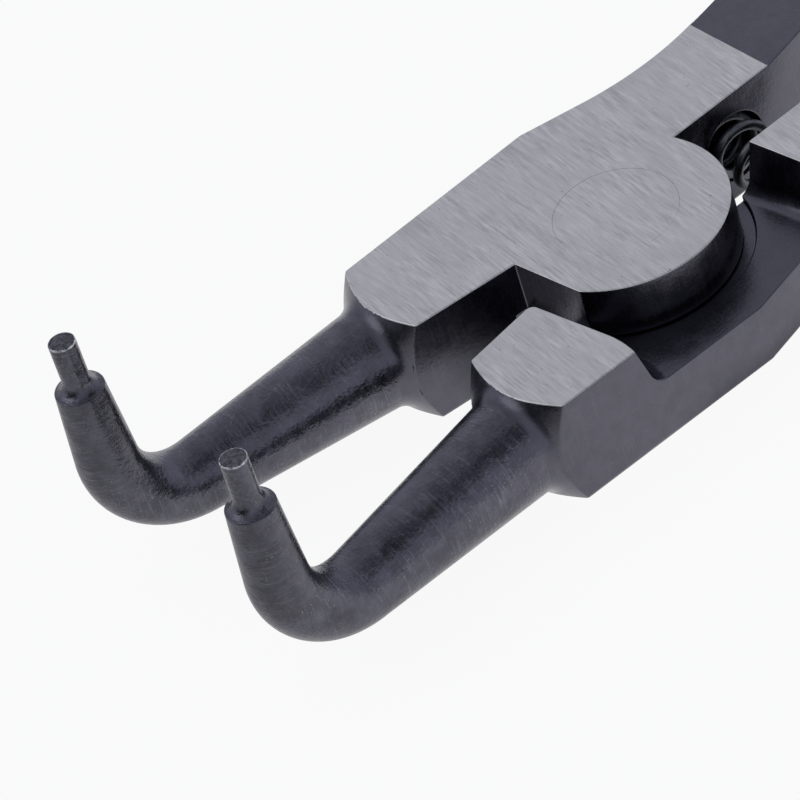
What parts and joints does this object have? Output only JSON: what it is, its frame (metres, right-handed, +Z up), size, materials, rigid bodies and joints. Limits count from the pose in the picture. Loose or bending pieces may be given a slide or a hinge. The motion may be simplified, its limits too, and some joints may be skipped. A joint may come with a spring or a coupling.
{
  "type": "circlip pliers",
  "caption": "External circlip pliers with square-bent tips, a half-lap joint on a flush rivet, a coil return spring between the shanks and sleeved handles.",
  "frame": {"origin": "on the pivot axis, in the plane of the head's underside", "axes": "+X from the pivot towards the tips, +Y towards the left lever, +Z up along the pivot axis, the way the bent tips point"},
  "size_m": [0.2051, 0.063, 0.025],
  "materials": {
    "black_steel": "black phosphated forged steel with ground outer faces",
    "ground_steel": "ground flush, satin",
    "spring_steel": "oil-tempered wire",
    "grip_pvc": "dip-moulded soft vinyl"
  },
  "bodies": {
    "left_half": {"left_lever": "black_steel", "pivot_rivet": "ground_steel", "return_spring": "spring_steel", "left_grip": "grip_pvc"},
    "right_half": {"right_lever": "black_steel", "right_grip": "grip_pvc"}
  },
  "joints": [
    {"name": "plier_pivot", "type": "hinge", "parent": "left_half", "child": "right_half", "pos_m": [0, 0, 0], "axis": [0, 0, -1], "range_deg": [-12, 12], "stiffness_Nm_per_rad": 1.7, "deforming": ["return_spring"]}
  ]
}
